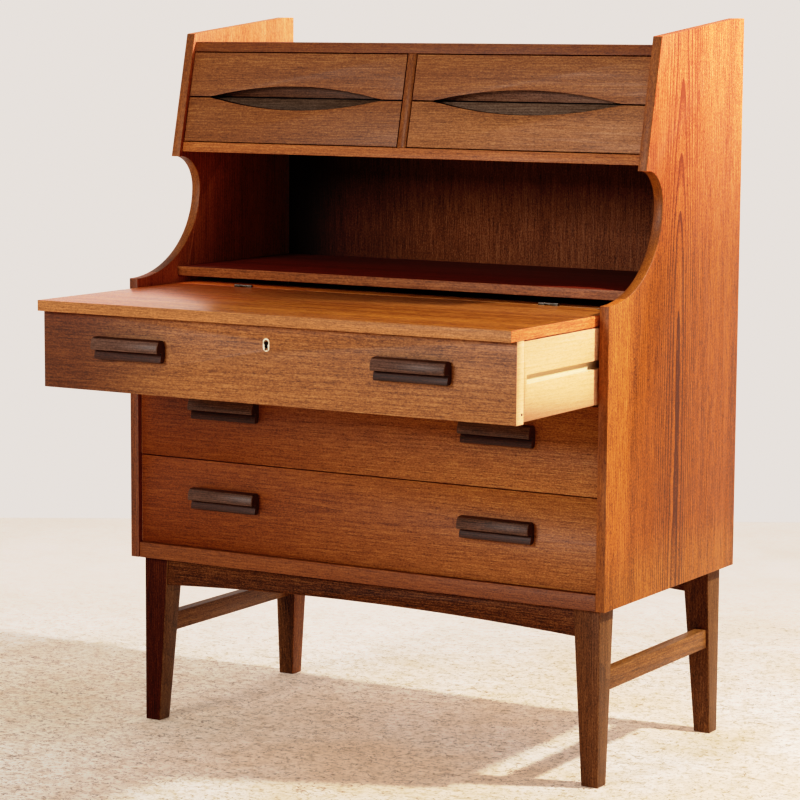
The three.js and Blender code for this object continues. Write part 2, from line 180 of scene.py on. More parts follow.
# Places of the dark, middle and light colour on a wood's tone ramp.
TONE_STOPS = (0.1, 0.5, 0.92)
# Rotation that turns the named object axis onto the texture's Z axis, along the grain.
GRAIN_TURN = {"x": (0, -math.pi / 2, 0), "y": (math.pi / 2, 0, 0), "z": (0, 0, 0)}
# How strongly each layer of a wood's figure moves its tone, per unit of figure, band or fibre.
RING_WEIGHT, BAND_WEIGHT, STREAK_WEIGHT, FIBRE_WEIGHT, SPECK_WEIGHT = 0.6, 2.0, 0.85, 2.4, 2.5
RING_FREQUENCY = 0.314  # wave texture scale that gives rings one metre apart
PORE_TINT = (0.40, 0.30, 0.26, 1)
PORE_DEPTH = 0.12 * MM
BUMP_STRENGTH = 0.5


def lifted_off_pith(g, placed, along, crown):
    """Shifts the texture sideways along the grain, which closes the rings into arches."""
    low, high, rise = crown
    lift = g.add("ShaderNodeCombineXYZ")
    g.put(lift.inputs[0], g.remap(g.part(along, "Z"), low, high, 0.0, rise))
    return g.vector_math("ADD", placed, lift.outputs[0])


def wandering(g, placed, seed, wander):
    """Bends the whole figure slowly to and fro."""
    slow = g.add("ShaderNodeTexNoise", noise_dimensions="3D")
    bent = g.mapping(placed, location=(seed * 1.7, seed * 0.9, 0), scale=(7, 7, 1.1))
    g.put(slow.inputs["Vector"], bent)
    slow.inputs["Scale"].default_value = 1.0
    slow.inputs["Detail"].default_value = 2.0
    offset = g.add("ShaderNodeVectorMath", operation="SCALE")
    g.put(offset.inputs[0], slow.outputs["Color"])
    offset.inputs["Scale"].default_value = wander
    return g.vector_math("ADD", placed, offset.outputs[0])


def ring_lines(g, warped, streaks, ring, heart):
    """Thin dark growth lines, broken up by the streaks."""
    rings = g.add("ShaderNodeTexWave", wave_type="RINGS", rings_direction="Z", wave_profile="SAW")
    g.put(rings.inputs["Vector"], warped)
    rings.inputs["Scale"].default_value = RING_FREQUENCY / ring
    rings.inputs["Distortion"].default_value = 1.0
    rings.inputs["Detail"].default_value = 2.0
    rings.inputs["Detail Scale"].default_value = 0.35
    line = g.math("POWER", rings.outputs["Fac"], 4.0 if heart else 3.0)
    if heart:
        reach = g.vector_math("LENGTH", g.mapping(warped, scale=(1, 1, 0)))
        line = g.math("MULTIPLY", line, g.remap(reach, heart[0], heart[1], 1.0, 0.3))
    return g.math("MULTIPLY", line, g.remap(streaks, 0.35, 0.6, 0.4, 1.0))


def wood(name, tones, grain, seed, ring=0.0045, pith=(0.05, 0.03), tilt=1.2, figure=0.5, band=0.3,
         fibre=0.45, pores=0.55, rough=0.5, gloss=0.3, coat=0.0, wander=0.018, heart=None,
         crown=None, fades=()):
    """Veneer or solid wood with growth rings round a slightly tilted pith, fibres and pores.
    tones: dark, middle and light colour. grain: object axis along the grain.
    heart: (near, far) distances from the pith over which the ring lines fade out.
    crown: (from, to, rise) lifts the face away from the pith along the grain, for nested arches.
    fades: each (axis, from, to, tones) drifts to another set of tones along an object axis."""
    material, g, shader = new_material(name)
    where = g.coordinates()
    along = g.mapping(where, rotation=GRAIN_TURN[grain])
    lean = (math.radians(tilt), math.radians(0.6 * tilt), 0)
    placed = g.mapping(along, location=(pith[0], pith[1], 0.37 * seed), rotation=lean)
    if crown:
        placed = lifted_off_pith(g, placed, along, crown)
    warped = wandering(g, placed, seed, wander)
    bands = g.noise(g.mapping(warped, scale=(30, 30, 0.7)), 1.0, detail=2.0, roughness=0.5)
    streaks = g.noise(g.mapping(warped, scale=(210, 210, 5)), 1.0, detail=3.0, roughness=0.65)
    fibres = g.noise(g.mapping(along, scale=(560, 560, 26)), 1.0, detail=3.0, roughness=0.75)
    grit = g.mapping(along, location=(0, seed, 0), scale=(560, 560, 290))
    specks = g.noise(grit, 1.0, detail=2.0, roughness=0.8)
    pits = g.mapping(along, location=(seed, 0, 0), scale=(800, 800, 110))
    fine = g.noise(pits, 1.0, detail=1.0, roughness=0.6)
    line = ring_lines(g, warped, streaks, ring, heart)
    tone = g.math("SUBTRACT", 0.5, g.math("MULTIPLY", line, figure * RING_WEIGHT))
    tone = g.math("ADD", tone, g.swing(bands, band * BAND_WEIGHT))
    tone = g.math("ADD", tone, g.swing(streaks, fibre * STREAK_WEIGHT))
    tone = g.math("ADD", tone, g.swing(fibres, fibre * FIBRE_WEIGHT))
    tone = g.math("ADD", tone, g.swing(specks, fibre * SPECK_WEIGHT), clamp=True)
    colour = g.ramp(tone, list(zip(TONE_STOPS, tones)))
    for axis, start, end, other in fades:
        drift = g.remap(g.part(where, axis), start, end)
        colour = g.mix(drift, colour, g.ramp(tone, list(zip(TONE_STOPS, other))))
    pore = g.remap(fine, 0.32, 0.46, 0.0, 1.0)
    shaded = g.mix(g.math("MULTIPLY", g.math("SUBTRACT", 1.0, pore), pores), colour,
                   g.mix(1.0, colour, PORE_TINT, "MULTIPLY"))
    g.put(shader.inputs["Base Color"], shaded)
    g.put(shader.inputs["Roughness"], g.remap(streaks, 0.25, 0.75, rough + 0.07, rough - 0.05))
    shader.inputs["Specular IOR Level"].default_value = gloss
    if coat:
        shader.inputs["Coat Weight"].default_value = coat
        shader.inputs["Coat Roughness"].default_value = 0.2
    height = g.math("ADD", g.math("MULTIPLY", pore, 0.7), g.math("MULTIPLY", fibres, 0.5))
    bumped = g.add("ShaderNodeBump")
    bumped.inputs["Strength"].default_value = BUMP_STRENGTH
    bumped.inputs["Distance"].default_value = PORE_DEPTH
    g.put(bumped.inputs["Height"], height)
    g.put(shader.inputs["Normal"], bumped.outputs["Normal"])
    return material


def tones(dark, middle, light):
    return srgb(dark), srgb(middle), srgb(light)


TEAK_SIDE = tones("#4c2008", "#90470d", "#b26424")
TEAK_SIDE_FORE = tones("#6c3410", "#c16b28", "#da8842")
# Painted light on the right panel: a lighter foot, lit from the floor, and a much lighter top, with
# the key's sheen.
TEAK_SIDE_FOOT_BOUNCE = tones("#582a10", "#9e591b", "#c27a34")
TEAK_SIDE_TOP_SHEEN = tones("#8c3818", "#e06c3a", "#f7925a")
TEAK_SIDE_EDGE = tones("#542409", "#844814", "#a2602a")
# Painted shade low on the left panel and painted light at its top.
TEAK_LEFT_LOW_SHADE = tones("#300f05", "#591e0c", "#743318")
TEAK_LEFT = tones("#602610", "#b0562a", "#cc7a40")
TEAK_LEFT_TOP_LIT = tones("#cc6430", "#fb8f55", "#ffb680")
TEAK_LEFT_EDGE = tones("#3c1c0c", "#70391a", "#90552a")
TEAK_UPPER = tones("#522b10", "#844c20", "#aa7440")
# Painted light: lighter tones for the lower right small front.
TEAK_UPPER_LIT = tones("#5e361a", "#945b2e", "#ba8450")
TEAK_DIVIDER = tones("#4c260c", "#7c4418", "#9e6630")
TEAK_RAIL = tones("#46200a", "#703810", "#905622")
TEAK_FLOOR_RAIL = tones("#68340e", "#a25b26", "#c48244")
# Painted light: the wide fronts' left tones are darker than their right ones.
TEAK_FRONT_LEFT = tones("#351605", "#5d2d0e", "#7c4720")
TEAK_FRONT_RIGHT = tones("#562c12", "#955b2d", "#bb834c")
TEAK_LOW_LEFT = tones("#3e1705", "#6d310c", "#8c4c1c")
TEAK_LOW_RIGHT = tones("#54280e", "#8f5326", "#b47a40")
TEAK_MIDDLE_RIGHT = tones("#572e14", "#965a2c", "#bb8448")
TEAK_LID = tones("#72340a", "#ac5f1c", "#d2883a")
# Painted light: lighter tones for the lid's ends and the left of its top.
TEAK_LID_END_LIT = tones("#b04c20", "#e6793d", "#fba262")
TEAK_LID_LEFT_LIT = tones("#a83e10", "#ee6e22", "#ff9a4a")
TEAK_LID_EDGE = tones("#743f22", "#b97e4a", "#e0ae7a")
TEAK_BOTTOM = tones("#451d08", "#723a12", "#98592a")
TEAK_BACK = tones("#2b130a", "#6c391b", "#96603c")
# Painted shade on the back panel's left half and in its corner.
TEAK_BACK_LEFT_SHADE = tones("#150704", "#3c190d", "#58321e")
TEAK_CORNER_SHADE = tones("#080302", "#180904", "#221008")
TEAK_SHELF_EDGE = tones("#5e3013", "#965427", "#be7c49")
# Painted shade: a deep dark red for the shelf's top, inside the shaded compartment.
TEAK_SHELF = tones("#380e04", "#651c08", "#8a3a18")
STAINED = tones("#180a04", "#50280f", "#7a4e2a")
# Painted shade for the legs' front faces, painted light for their sides.
STAINED_DEEP_SHADE = tones("#100401", "#3e1605", "#603016")
STAINED_LIT = tones("#2c180a", "#6c4322", "#946c40")
STAINED_LEG_FRONT_SHADE = tones("#1b0c05", "#563116", "#7e512c")
STAINED_BROWN = tones("#20110a", "#4e3020", "#6e4a34")
STAINED_GREY = tones("#241710", "#4c382a", "#6c5646")
STAINED_BROWN_LIT = tones("#33201a", "#6c4a38", "#8e6a54")
STAINED_GREY_LIT = tones("#33241a", "#644c3c", "#86705e")
STAINED_REAR_LIT = tones("#2e1405", "#874717", "#ac6c2c")
# Painted light: lighter stain for the stretchers.
STAINED_RAIL_LIT = tones("#341c0a", "#7c4c21", "#a6743c")
# Painted shade: near black for the rims of the small fronts, darkening the gaps.
TEAK_GAP_SHADE = tones("#140804", "#26100a", "#381a10")
# Painted shade: near black for the middle shelf's front edge, in the gap between the trays.
BLACK_SHADE = tones("#0a0402", "#1c0c06", "#2c160c")
BEECH = tones("#e29e68", "#fdbb8a", "#ffd2aa")
# Painted light: a paler beech for inside the runner grooves.
BEECH_GROOVE_LIT = tones("#d8b488", "#ecd0a4", "#f6e0bc")
PLY = tones("#a3845a", "#cfb083", "#e2c9a0")
ROSEWOOD = tones("#21130d", "#56392b", "#7c5a4a")
# Painted shade: darker rosewood for the pulls' base, top edge and ends.
ROSEWOOD_SHADED = tones("#150a05", "#381b10", "#522f20")


def metal(name, colour, rough):
    material, g, shader = new_material(name)
    where = g.coordinates()
    grain = g.noise(g.mapping(where, scale=(40, 900, 900)), 1.0, detail=3.0)
    blotch = g.noise(where, 120.0, detail=3.0)
    dull = [c * 0.55 for c in colour[:3]] + [1]
    g.put(shader.inputs["Base Color"], g.mix(g.remap(blotch, 0.4, 0.7), colour, dull))
    shader.inputs["Metallic"].default_value = 1.0
    g.put(shader.inputs["Roughness"], g.remap(grain, 0.2, 0.8, rough - 0.1, rough + 0.15))
    return material


def ivory(name):
    material, g, shader = new_material(name)
    where = g.coordinates()
    vein = g.noise(g.mapping(where, scale=(900, 900, 160)), 1.0, detail=3.0)
    cream = g.mix(g.remap(vein, 0.35, 0.7), srgb("#f6efdc"), srgb("#dccfa9"))
    g.put(shader.inputs["Base Color"], cream)
    g.put(shader.inputs["Roughness"], g.remap(vein, 0.3, 0.7, 0.26, 0.4))
    return material


# ---------------------------------------------------------------- carried-over nodes
WELD_DISTANCE = 0.02 * MM
KEEP_OWN_MATERIAL = -1


def soften(node, width, segments=2, angle=35, rim=KEEP_OWN_MATERIAL):
    """Small rounded arrises on a CAD node's shown shape; rim is the arrises' own material slot."""
    weld = node.modifiers.new("weld", "WELD")
    weld.merge_threshold = WELD_DISTANCE
    bevel = node.modifiers.new("arris", "BEVEL")
    bevel.width = width
    bevel.segments = segments
    bevel.limit_method = "ANGLE"
    bevel.angle_limit = math.radians(angle)
    bevel.material = rim
    bevel.harden_normals = True
    for polygon in node.data.polygons:
        polygon.use_smooth = True


def faces_like(node, material, test):
    """Gives the node's faces that pass test(normal, centre) a finish of their own."""
    node.data.materials.append(material)
    slot = len(node.data.materials) - 1
    for polygon in node.data.polygons:
        if test(polygon.normal, polygon.center):
            polygon.material_index = slot


def dress(name, material, width=0.6 * MM, accents=(), **kwargs):
    node = NODES[name]
    node.data.materials.clear()
    node.data.materials.append(material)
    for other, test in accents:
        faces_like(node, other, test)
    if width:
        soften(node, width, **kwargs)


def faces_up(normal, centre):
    return normal.z > 0.3


def faces_front(normal, centre):
    return normal.y < -0.25 and abs(normal.x) < 0.5


def faces_left(normal, centre):
    return normal.x < -0.7


def faces_rear(normal, centre):
    return normal.y > 0.7


RUNNER_LEVELS = (0.6618, 0.5210, 0.3720)  # heights of the runner grooves' centre lines
GROOVE_REACH = 0.008  # no face of a groove has its centre farther from the centre line
GROOVE_DEPTHS = (0.4140, 0.4255)  # |x| of the groove's faces; the side's outer face is at 0.4257


def faces_groove(normal, centre):
    """Floor and flanks of the runner groove, sunk into a drawer side's outer face."""
    level = any(abs(centre.z - runner) < GROOVE_REACH for runner in RUNNER_LEVELS)
    sunk = GROOVE_DEPTHS[0] < abs(centre.x) < GROOVE_DEPTHS[1]
    return level and sunk and abs(normal.y) < 0.5


def faces_rim(normal, centre):
    """The narrow faces all round a small drawer front."""
    return abs(normal.y) < 0.4


def faces_end(normal, centre):
    return abs(normal.x) > 0.9


def dress_sides():
    # Painted light: the right panel's tones lighten towards its front edge, towards its foot, where
    # the floor lights it, and most towards its top, where the key gives a sheen.
    right = wood("teak_side_right", TEAK_SIDE, "z", 3, ring=0.0062, pith=(-0.428, -0.150),
                 tilt=0.35, figure=2.2, band=0.3, fibre=0.62, wander=0.020, heart=(0.04, 0.09),
                 gloss=0.22, crown=(0.71, 1.20, 0.016),
                 fades=[("Y", 0.04, -0.08, TEAK_SIDE_FORE), ("Z", 0.40, 0.30, TEAK_SIDE_FOOT_BOUNCE),
                        ("Z", 0.75, 1.15, TEAK_SIDE_TOP_SHEEN)])
    # Painted shade and light: the left panel is dark up to about the writing surface, where its
    # inner face lines the shaded recess beside the drawers, and much lighter at its top, where the
    # key lights it.
    left = wood("teak_side_left", TEAK_LEFT_LOW_SHADE, "z", 7, ring=0.0075, pith=(0.41, -0.12), tilt=0.9,
                heart=(0.03, 0.12),
                fades=[("Z", 0.70, 0.745, TEAK_LEFT), ("Z", 1.10, 1.15, TEAK_LEFT_TOP_LIT)])
    outer = wood("teak_side_outer", TEAK_SIDE_FORE, "z", 5, ring=0.0062, pith=(0.428, -0.150),
                 tilt=0.35, figure=1.6, fibre=0.62, heart=(0.04, 0.09), crown=(0.66, 1.15, 0.016))
    right_edge = wood("teak_edge_right", TEAK_SIDE_EDGE, "z", 8, figure=0.2)
    # Painted light: the left panel's front edge lightens above the writing drawer.
    left_edge = wood("teak_edge_left", TEAK_LEFT_EDGE, "z", 9, figure=0.2,
                     fades=[("Z", 0.74, 0.82, TEAK_SIDE_EDGE)])
    dress("side_panel_right", right, width=0.8 * MM, accents=[(right_edge, faces_front)])
    dress("side_panel_left", left, width=0.8 * MM,
          accents=[(left_edge, faces_front), (outer, faces_left)])


def dress_case():
    dress_sides()
    # Painted shade: the back panel darkens towards the left and nearly to black in the corner, where
    # the left side panel shades it.
    back = wood("teak_back", TEAK_BACK, "z", 13, figure=0.15, fibre=0.55, band=0.1, gloss=0.12,
                rough=0.6,
                fades=[("X", 0.0, -0.36, TEAK_BACK_LEFT_SHADE), ("X", -0.29, -0.405, TEAK_CORNER_SHADE)])
    rear = wood("teak_back_rear", TEAK_BOTTOM, "z", 14, figure=0.3, band=0.2)
    dress("back_panel", back, width=0.3 * MM, accents=[(rear, faces_rear)])
    shelf_edge = wood("teak_shelf_edge", TEAK_SHELF_EDGE, "x", 18, figure=0.2)
    # Painted shade: the shelf's top is much darker than its front edge, as the compartment above
    # shades it.
    dress("desk_shelf", wood("teak_shelf", TEAK_SHELF, "x", 17, figure=0.3),
          accents=[(shelf_edge, faces_front)])
    dress("bottom_panel", wood("teak_bottom", TEAK_BOTTOM, "x", 11, figure=0.3))
    dress("upper_floor_panel", wood("teak_upper_floor", TEAK_FLOOR_RAIL, "x", 19, figure=0.3))
    dress("top_panel", wood("teak_top", TEAK_RAIL, "x", 23, figure=0.3))
    dress("upper_divider", wood("teak_divider", TEAK_DIVIDER, "z", 29, figure=0.3))
    # Painted shade: the middle shelf's front edge, seen in the finger cuts between the trays, is
    # near black, as the gap there is in shade.
    dark_edge = wood("shaded_shelf_edge", BLACK_SHADE, "x", 32)
    dress("upper_middle_shelf", wood("ply_shelf", PLY, "x", 31), width=0.3 * MM,
          accents=[(dark_edge, faces_front)])
    for i, drawer in enumerate(WIDE_DRAWERS):
        runner = wood(f"runner_{drawer}", STAINED, "y", 37 + i)
        for side in SIDES:
            dress(f"{drawer}_runner_{side}", runner)


def dress_base():
    for i, place in enumerate(("front_left", "front_right", "rear_left", "rear_right")):
        # Painted shade and light: each leg's front faces are darker than its sides, the front left
        # leg's darkest; the sides are lighter, as the key lights them, the rear left leg's most.
        shade, gloss = (STAINED_DEEP_SHADE, 0.06) if place == "front_left" else (STAINED_LEG_FRONT_SHADE, 0.15)
        front = wood(f"stained_leg_front_{place}", shade, "z", 141 + i, figure=0.3, fibre=0.48,
                     gloss=gloss)
        flank = STAINED_REAR_LIT if place == "rear_left" else STAINED_LIT
        leg = wood(f"stained_leg_{place}", flank, "z", 41 + i, figure=0.3, fibre=0.48, gloss=0.22)
        dress(f"leg_{place}", leg, width=1.6 * MM, segments=3, accents=[(front, faces_front)])
    for i, place in enumerate(("front", "rear")):
        apron = wood(f"stained_apron_{place}", STAINED, "x", 47 + i, figure=0.4, fibre=0.6,
                     gloss=0.1)
        dress(f"apron_{place}", apron, width=1.0 * MM, angle=50)
    for i, side in enumerate(SIDES):
        # Painted light: the stretchers are lighter than the aprons, as the key lights the right one.
        stretcher = wood(f"stained_stretcher_{side}", STAINED_RAIL_LIT, "y", 53 + i, figure=0.3)
        dress(f"stretcher_{side}", stretcher, width=1.0 * MM)


# Height and depth (negated) of each wide front's growth-ring centre, a little behind its face.
FRONT_PITH = {"desk": (0.645, 0.325), "middle": (0.54, 0.062), "lower": (0.385, 0.065)}
# Each wide front: its tones on the left and on the right, the x where the drift from one to the
# other starts and ends, and its gloss. The drift is painted light: each front lightens to the right,
# as more light falls there.
FRONT_TONES = {
    "desk": (TEAK_FRONT_LEFT, TEAK_FRONT_RIGHT, -0.38, -0.12, 0.35),
    "middle": (TEAK_LOW_LEFT, TEAK_MIDDLE_RIGHT, -0.43, 0.42, 0.25),
    "lower": (TEAK_LOW_LEFT, TEAK_LOW_RIGHT, -0.43, 0.42, 0.25),
}
BEECH_LOOK = {
    "ring": 0.006, "figure": 0.25, "band": 0.15, "fibre": 0.25, "pores": 0.2, "rough": 0.5,
}


def dress_wide_drawers():
    beech = wood("beech", BEECH, "y", 59, **BEECH_LOOK)
    # Painted light: the runner grooves get a paler beech, lifting the shade inside them.
    pale = wood("beech_groove_lit", BEECH_GROOVE_LIT, "y", 60, ring=0.006, figure=0.2, band=0.1, fibre=0.2,
                pores=0.1)
    cross = wood("beech_across", BEECH, "x", 61, **BEECH_LOOK)
    ply = wood("ply", PLY, "x", 67, figure=0.3, band=0.3, fibre=0.3, pores=0.3, rough=0.55)
    for i, drawer in enumerate(WIDE_DRAWERS):
        left, right, start, end, gloss = FRONT_TONES[drawer]
        front = wood(f"teak_{drawer}_front", left, "x", 71 + 2 * i, ring=0.006,
                     pith=FRONT_PITH[drawer], tilt=0.8, figure=0.4, fibre=0.5, band=0.15,
                     heart=(0.04, 0.12), gloss=gloss, fades=[("X", start, end, right)])
        dress(f"{drawer}_drawer_front", front, accents=[(beech, faces_end)])
        for side in SIDES:
            dress(f"{drawer}_drawer_side_{side}", beech, width=0.3 * MM,
                  accents=[(pale, faces_groove)])
        dress(f"{drawer}_drawer_back", cross)
        dress(f"{drawer}_drawer_bottom", ply, width=0.3 * MM)


RIM_SLOT = 1  # the small front's material slot for its painted gap shade
TRAY_TONES = {
    ("upper", "left"): STAINED_BROWN, ("upper", "right"): STAINED_BROWN_LIT,
    ("lower", "left"): STAINED_GREY, ("lower", "right"): STAINED_GREY_LIT,
}


def dress_small_drawers():
    # Painted shade: the narrow faces and arrises all round each small front are near black,
    # deepening the shade of the gaps.
    gap = wood("teak_rim", TEAK_GAP_SHADE, "x", 90, figure=0.2, gloss=0.1)
    for i, level in enumerate(("upper", "lower")):
        for k, side in enumerate(SIDES):
            name = f"small_drawer_{level}_{side}"
            # Painted light: the lower right small front is lighter, as more light falls there.
            front_tones = TEAK_UPPER_LIT if (level, side) == ("lower", "right") else TEAK_UPPER
            front = wood(f"teak_{name}", front_tones, "x", 91 + 2 * i + k, figure=0.25)
            tray = wood(f"stained_{name}", TRAY_TONES[level, side], "x", 97 + 2 * i + k)
            dress(f"{name}_front", front, width=1.4 * MM, angle=50, rim=RIM_SLOT,
                  accents=[(gap, faces_rim)])
            dress(f"{name}_tray", tray, width=0.4 * MM)


STEEL = (0.42, 0.39, 0.35, 1)
# Painted shade: near black for the hinge leaves, all but their upward faces.
HINGE_SHADE = (0.09, 0.065, 0.045, 1)


def dress_lid():
    # Painted light: the lid's top lightens towards its left end, where the key reaches it and gives
    # a sheen, and its ends are lighter, as the key-lit right end.
    lid = wood("teak_lid", TEAK_LID, "x", 101, ring=0.017, pith=(0.70, 0.16), tilt=0.6, figure=0.9,
               band=0.45, fibre=1.0, rough=0.3, gloss=0.8, coat=0.35,
               fades=[("X", -0.08, -0.40, TEAK_LID_LEFT_LIT)])
    front = wood("teak_lid_edge", TEAK_LID_EDGE, "x", 102, figure=0.2, fibre=0.3, gloss=0.2)
    end = wood("teak_lid_end", TEAK_LID_END_LIT, "y", 103, figure=0.2)
    dress("writing_lid", lid, accents=[(end, faces_end), (front, faces_front)])
    dress("desk_rear_strip", lid)
    steel = metal("steel", STEEL, 0.45)
    hinge_shade = metal("hinge_shade", HINGE_SHADE, 0.5)
    # Painted highlight and shade: each hinge leaf is near black but for its upward faces,
    # steel-bright as a glint.
    for side in SIDES:
        dress(f"lid_hinge_leaf_{side}", hinge_shade, width=0.2 * MM, accents=[(steel, faces_up)])
        dress(f"strip_hinge_leaf_{side}", hinge_shade, width=0.2 * MM, accents=[(steel, faces_up)])
    dress("desk_lock_case", steel, width=0.8 * MM)


# ---------------------------------------------------------------- pieces made here
def link_piece(name, mesh, body, slot, *materials):
    """Shows a mesh drawn from the side panels' front edge (y = 0 there) as a piece of that body."""
    mesh.transform(Matrix.Translation((0, FRONT_EDGE_Y, 0)))
    piece = bpy.data.objects.new(name, mesh)
    for material in materials:
        mesh.materials.append(material)
    bpy.context.scene.collection.objects.link(piece)
    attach(piece, body)
    return piece


def finished(made, name):
    """Turns a bmesh of one closed body into a mesh, its faces pointing out."""
    bmesh.ops.recalc_face_normals(made, faces=made.faces)
    mesh = bpy.data.meshes.new(name)
    made.to_mesh(mesh)
    made.free()
    return mesh


def smooth_loop(points):
    """Closed outline with its corners cut twice."""
    for _ in range(2):
        cut = []
        for a, b in zip(points, points[1:] + points[:1]):
            cut.append((a[0] * 0.8 + b[0] * 0.2, a[1] * 0.8 + b[1] * 0.2))
            cut.append((a[0] * 0.2 + b[0] * 0.8, a[1] * 0.2 + b[1] * 0.8))
        points = cut
    return points


# Lip pull in section: [distance out from the drawer face, height above its lower edge].
LIP_SECTION = [
    (0.3, 0), (11.6, 0), (12.8, 1.2), (12.2, 7), (10.6, 11.5), (8.8, 14.5), (9.6, 16.4),
    (20.4, 15.2), (22.6, 16.6), (22.9, 21.5), (21.6, 27.5), (19.0, 32.8), (16.2, 35.2), (0.3, 35.4),
]
HANDLE_HALF = 63.5
HANDLE_X = 255
# Body, depth of the drawer face and height of the pull's lower edge, in mm.
HANDLES = {
    "desk": ("writing_drawer", -255, 649.3),
    "middle": ("middle_drawer", 7, 525.3),
    "lower": ("lower_drawer", 7, 374.8),
}
# Where along its length each section stands (-1 to 1), and how much of the section's size is kept.
HANDLE_STATIONS = [
    (-1.0, 0.90), (-0.994, 0.965), (-0.98, 1.0), (0.98, 1.0), (0.994, 0.965), (1.0, 0.90),
]
HANDLE_MIDDLE = (8.0, 18.0)
HANDLE_BACK = 0.4  # the section's points nearer to the face than this stay where they are
# Painted shade: the pull's base, top edge and ends take the darker rosewood.
DARK = 1  # material slot of a pull's base, top edge and ends


def in_shade(a, b):
    """Whether the face between two section points is on the pull's base, back or top edge, which
    take the painted shade.
    """
    return max(a[1], b[1]) < 16 or min(a[0], b[0]) < 1 or min(a[1], b[1]) > 33.5


def handle_mesh(name, x, face_y, z):
    """Lip pull lofted along its length, its ends drawn in a little."""
    loop = smooth_loop(LIP_SECTION)
    made = bmesh.new()
    rows = []
    for share, keep in HANDLE_STATIONS:
        row = []
        for out, up in loop:
            out = HANDLE_MIDDLE[0] + (out - HANDLE_MIDDLE[0]) * (keep if out > HANDLE_BACK else 1.0)
            up = HANDLE_MIDDLE[1] + (up - HANDLE_MIDDLE[1]) * keep
            spot = (x + share * HANDLE_HALF, face_y - out, z + up)
            row.append(made.verts.new([c * MM for c in spot]))
        rows.append(row)
    count = len(loop)
    for a, b in zip(rows, rows[1:]):
        for i in range(count):
            k = (i + 1) % count
            face = made.faces.new((a[i], a[k], b[k], b[i]))
            face.smooth = True
            face.material_index = DARK if in_shade(loop[i], loop[k]) else 0
    for row, last in ((rows[0], False), (rows[-1], True)):
        cap = made.faces.new(row if last else row[::-1])
        cap.material_index = DARK
    return finished(made, name)


def add_handles():
    for i, (drawer, (body, face_y, z)) in enumerate(HANDLES.items()):
        for k, side in enumerate(SIDES):
            bar = wood(f"rosewood_{drawer}_{side}", ROSEWOOD, "x", 83 + 2 * i + k, ring=0.003,
                       rough=0.46, gloss=0.3, fibre=0.35)
            base = wood(f"rosewood_shaded_{drawer}_{side}", ROSEWOOD_SHADED, "x", 113 + 2 * i + k,
                        ring=0.003, rough=0.5, fibre=0.4)
            x = -HANDLE_X if side == "left" else HANDLE_X
            mesh = handle_mesh(f"pull_{drawer}_{side}", x, face_y, z)
            piece = link_piece(f"pull_{drawer}_{side}", mesh, body, "rosewood", bar, base)
            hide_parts(f"{drawer}_handle_{side}")


# Keyhole plate, in mm: centre, drawer face, oval and opening.
ESCUTCHEON_AT = (-4.5, 689.0)
DESK_FACE = -255.0
OVAL_HALF = (6.0, 10.25)
KEY_HEAD = (3.3, 4.2)  # centre above the plate's, radius
KEY_NECK_HALF = 3.0
KEY_FOOT = (-7.6, 3.6)  # lower end from the plate's centre, half width
KEY_FOOT_ROUND = (0.7, 0.5)


def oval(x, z, half_width, half_height):
    """Upright slot-shaped outline, anticlockwise as seen from the front."""
    steps = 20
    straight = half_height - half_width
    points = []
    for end, turn in ((1, 0.0), (-1, math.pi)):
        for i in range(steps + 1):
            a = turn + math.pi * i / steps
            across, up = half_width * math.cos(a), half_width * math.sin(a)
            points.append((x + across, z + end * straight + up))
    return points


def keyhole(x, z, count):
    """Outline of a keyhole: a round head over a flared slot, with as many points as oval()."""
    rise, radius = KEY_HEAD
    drop, foot_half = KEY_FOOT
    inset, sag = KEY_FOOT_ROUND
    neck = math.asin(KEY_NECK_HALF / radius)
    head = count - 4
    points = []
    for i in range(head):
        a = (-math.pi / 2 + neck) + (2 * math.pi - 2 * neck) * i / (head - 1)
        points.append((x + radius * math.cos(a), z + rise + radius * math.sin(a)))
    foot = z + drop
    points += [(x - foot_half, foot), (x - inset, foot - sag)]
    points += [(x + inset, foot - sag), (x + foot_half, foot)]
    return points


def ring_mesh(name, outer, inner, front, back, crown):
    """Flat ring between two outlines with a slightly domed face."""
    made = bmesh.new()
    first = min(range(len(inner)),
                key=lambda i: math.hypot(inner[i][0] - outer[0][0], inner[i][1] - outer[0][1]))
    inner = inner[first:] + inner[:first]

    def row(points, y):
        return [made.verts.new((px * MM, y * MM, pz * MM)) for px, pz in points]

    def between(share):
        return [(o[0] + (i[0] - o[0]) * share, o[1] + (i[1] - o[1]) * share)
                for o, i in zip(outer, inner)]

    rows = [row(outer, back), row(outer, front + crown), row(between(0.15), front + 0.3 * crown),
            row(between(0.5), front), row(between(0.85), front + 0.2 * crown),
            row(inner, front + 0.7 * crown), row(inner, back)]
    rows.append(rows[0])
    for a, b in zip(rows, rows[1:]):
        for i in range(len(outer)):
            k = (i + 1) % len(outer)
            made.faces.new((a[i], a[k], b[k], b[i])).smooth = True
    return finished(made, name)


def lathe_mesh(name, centre, axis, profile, steps):
    """Body turned about an axis through centre: profile is [(along, radius)] from end to end."""
    made = bmesh.new()
    turn = Vector((0, 0, 1)).rotation_difference(Vector(axis)).to_matrix()
    rows = []
    for along, radius in profile:
        row = []
        for i in range(steps):
            a = 2 * math.pi * i / steps
            spot = turn @ Vector((radius * math.cos(a), radius * math.sin(a), along))
            row.append(made.verts.new((Vector(centre) + spot) * MM))
        rows.append(row)
    for a, b in zip(rows, rows[1:]):
        for i in range(steps):
            k = (i + 1) % steps
            made.faces.new((a[i], a[k], b[k], b[i])).smooth = True
    made.faces.new(rows[0][::-1])
    made.faces.new(rows[-1])
    return finished(made, name)


# Painted shade: near black for the throat behind the keyhole.
KEYHOLE_SHADE = (0.012, 0.010, 0.009, 1)
THROAT_PROFILE = [(-0.5, 1.0), (-0.4, 3.6), (0.0, 5.2), (0.5, 5.2)]


